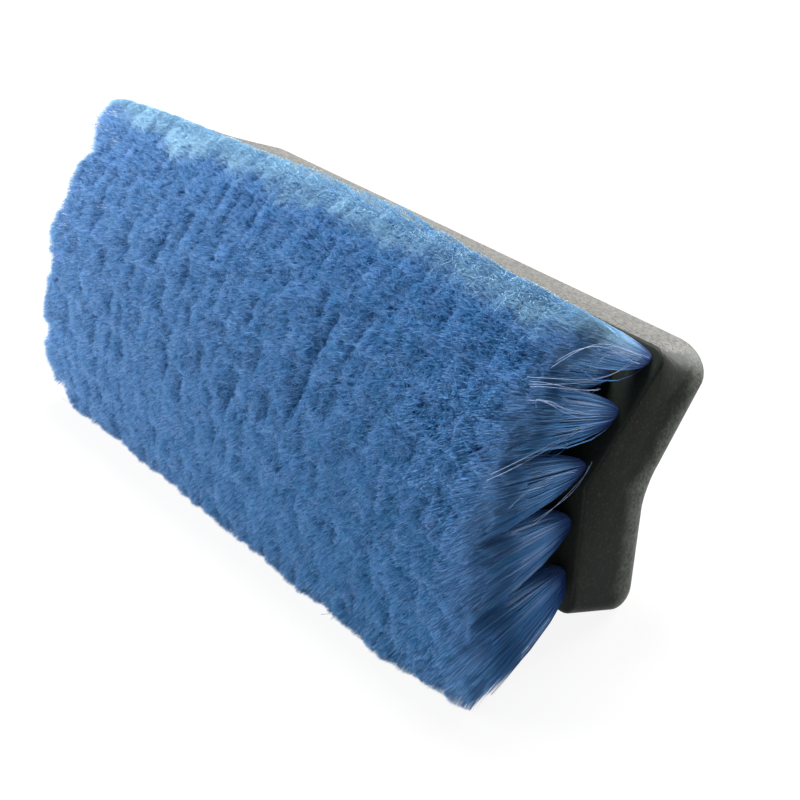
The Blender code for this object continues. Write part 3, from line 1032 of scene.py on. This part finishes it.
    # The mesh: all stems, then all hairs
    bm = bmesh.new()
    bm.from_mesh(repeated(stem, count))
    bm.from_mesh(repeated(hair, hair_count))
    mesh = bpy.data.meshes.new(f"bristles_{row + 1}")
    bm.to_mesh(mesh)
    bm.free()
    stem_verts = walls(stems, stem_ring, stem_side, stem_radius, down_face(tip_x, tip_q))
    hair_verts = walls(hairs, hair_ring, hair_side, hair_radius, down_face(x, q))
    laid = laid_down(np.concatenate((stem_verts.reshape(-1, 3), hair_verts.reshape(-1, 3))))
    mesh.vertices.foreach_set("co", laid.reshape(-1).astype(np.float32))
    colours = mesh.attributes.new("strand", "FLOAT_COLOR", "POINT")
    tones = np.concatenate((stem_tone.reshape(-1, 4), hair_tone.reshape(-1, 4)))
    colours.data.foreach_set("color", tones.reshape(-1).astype(np.float32))
    uv = np.concatenate((
        strips(count, stem_ring, stem_side, stem_corner, stem_rings - 1, 0.0, 0.4, 128),
        strips(hair_count, hair_ring, hair_side, hair_corner, 1, 0.4, 0.6, 256),
    ))
    layer = mesh.uv_layers.new(name="OFBake")
    layer.data.foreach_set("uv", uv.reshape(-1).astype(np.float32))
    mesh.shade_smooth()
    mesh.materials.append(blue)
    piece = bpy.data.objects.new(f"bristles_{row + 1}", mesh)
    bpy.context.scene.collection.objects.link(piece)
    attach(piece, "root")
    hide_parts(f"bristle_row_{row + 1}")

# LOOSE FIBRES. Some pale single filaments have worked free of the near tufts and lie over them. Each is
# a thin round curve through points given in millimetres, as along the block, out and up.

loose_paths = (
    ((124.5, -12.0, 42.0), (127.5, 6.0, 45.5), (129.0, 17.0, 46.0), (130.0, 21.5, 42.0), (129.5, 20.5, 37.5)),
    ((126.0, -5.0, 41.5), (128.0, 8.5, 44.0), (129.5, 18.0, 44.5), (129.5, 20.0, 41.5), (129.5, 19.0, 38.0)),
    ((126.5, -4.0, 43.0), (128.5, 13.5, 46.5), (130.0, 24.0, 47.0), (131.5, 34.5, 44.0), (132.0, 42.0, 41.0)),
    ((126.5, -3.0, 41.5), (127.5, 4.5, 38.0), (129.0, 17.0, 35.5), (131.0, 32.5, 34.0), (132.0, 49.5, 35.0)),
    ((128.0, 11.5, 32.0), (130.0, 27.5, 33.0), (132.0, 41.0, 34.5), (132.0, 49.0, 34.0)),
    ((128.0, 11.5, 24.0), (130.0, 27.0, 25.5), (131.5, 38.0, 29.5), (132.0, 43.5, 30.0), (132.0, 42.5, 27.5)),
    ((127.0, 7.0, 25.0), (129.0, 20.0, 24.5), (130.0, 29.5, 26.5), (131.0, 35.0, 30.0), (132.0, 45.5, 30.0)),
    ((124.5, -0.5, 6.5), (124.5, -1.5, 2.5), (125.5, 1.5, -1.0), (127.0, 9.5, -5.5), (129.5, 23.0, -9.5)),
    ((127.5, 9.5, 21.5), (128.5, 18.0, 17.5), (129.5, 28.5, 14.5), (130.5, 40.0, 10.5), (132.0, 52.5, 6.0)),
    ((126.5, 7.5, 6.0), (128.5, 20.0, 5.0), (130.0, 31.0, 2.0), (131.0, 38.0, -4.0)),
)
copies = 2
nudge_size = 0.0010
nudge_along = 0.4
rng = np.random.default_rng(31)
loose_curve = bpy.data.curves.new("loose_fibres", "CURVE")
loose_curve.dimensions = "3D"
loose_curve.bevel_depth = 0.00007
loose_curve.bevel_resolution = 1
loose_curve.use_fill_caps = True
for path in loose_paths:
    for copy in range(copies):
        spline = loose_curve.splines.new("NURBS")
        spline.points.add(len(path) - 1)
        spline.order_u = 4
        spline.resolution_u = 8
        spline.use_endpoint_u = True
        for point, (x, out, up) in zip(spline.points, path):
            nudge = rng.normal(0.0, nudge_size, 3)
            point.co = (x / 1000 + nudge_along * nudge[0], -out / 1000 - nudge[1], up / 1000 + nudge[2], 1.0)
holder = bpy.data.objects.new("loose_fibres_curve", loose_curve)
bpy.context.scene.collection.objects.link(holder)
bpy.context.view_layer.update()
loose_mesh = bpy.data.meshes.new_from_object(holder.evaluated_get(bpy.context.evaluated_depsgraph_get()))
bpy.data.objects.remove(holder)
pale_fibre = bpy.data.materials.new("pale_loose_fibre")
pale_fibre.use_nodes = True
shader = pale_fibre.node_tree.nodes["Principled BSDF"]
shader.inputs["Base Color"].default_value = (0.22, 0.32, 0.52, 1.0)
shader.inputs["Roughness"].default_value = 0.6
loose_fibres = shown("loose_fibres", loose_mesh, pale_fibre)
loose_mesh.shade_smooth()
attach(loose_fibres, "root")
